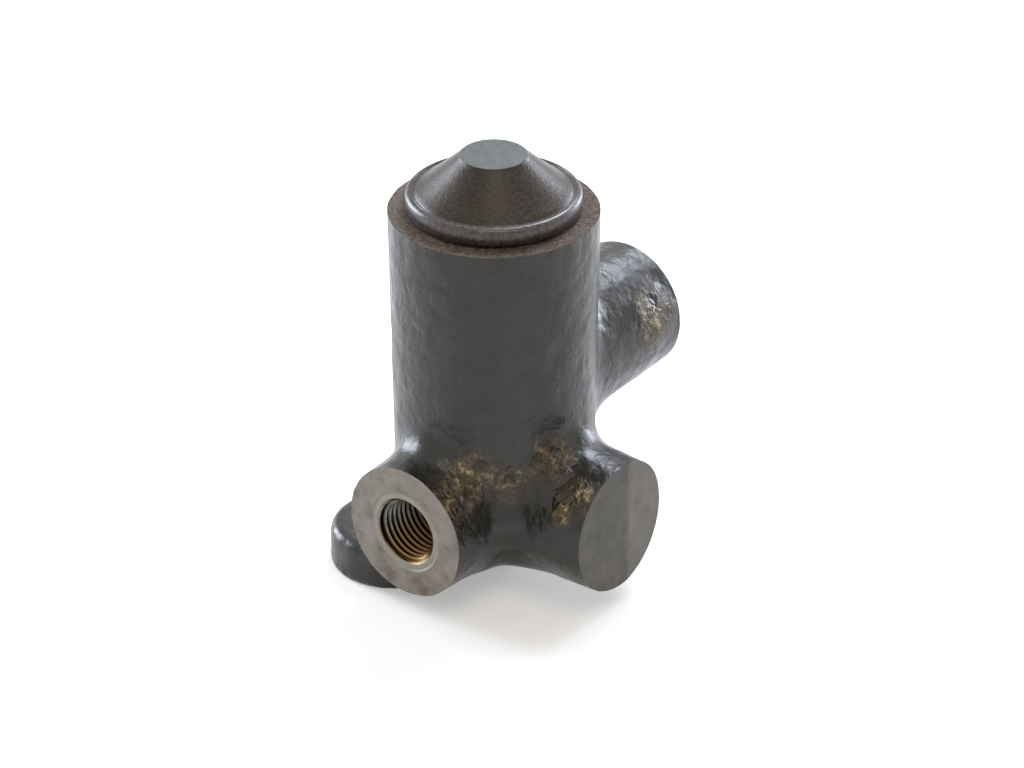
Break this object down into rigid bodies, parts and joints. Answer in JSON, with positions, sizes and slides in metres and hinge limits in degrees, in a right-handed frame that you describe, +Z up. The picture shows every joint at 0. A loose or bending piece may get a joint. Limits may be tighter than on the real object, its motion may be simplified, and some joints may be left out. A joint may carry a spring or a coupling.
{
  "type": "brake pressure regulator valve",
  "caption": "Cast brake pressure regulator with a domed cap, a front outlet port, a rear inlet port, a blind stub, a round foot and a sprung stepped piston.",
  "frame": {"origin": "where the main bore's axis meets the plane of the foot's underside, at the middle of the small base pad", "axes": "+Z up along the main bore towards the cap, -Y out of the outlet port, +X along the blind stub"},
  "size_m": [0.0431, 0.0522, 0.0653],
  "materials": {
    "casting": "black phosphated casting with a thin oil film, machined port face and rim",
    "cap": "dark oiled cap, fine speckle, satin",
    "turned_steel": "turned steel",
    "spring_steel": "blued spring steel",
    "brass": "turned brass",
    "rubber": "black moulded rubber",
    "plastic": "white plastic ring"
  },
  "bodies": {
    "housing": {"valve_body": "casting", "dust_cap": "cap", "main_spring": "spring_steel", "spring_cup": "turned_steel", "preload_shim_1": "turned_steel", "preload_shim_2": "turned_steel", "end_circlip": "spring_steel", "bush_circlip": "spring_steel", "guide_bush": "brass", "bush_o_ring": "rubber", "stem_wiper": "rubber", "stem_seal": "rubber", "stem_backup_ring": "plastic", "seal_washer": "turned_steel", "spacer_sleeve": "turned_steel", "valve_ring_washer": "turned_steel", "valve_ring": "rubber"},
    "piston_group": {"piston": "turned_steel", "spring_seat": "turned_steel", "stem_clip": "spring_steel"}
  },
  "joints": [
    {"name": "piston_slide", "type": "slide", "parent": "housing", "child": "piston_group", "axis": [0, 0, 1], "range_m": [0, 0.0015], "stiffness_N_per_m": 1500, "deforming": ["main_spring"]}
  ]
}
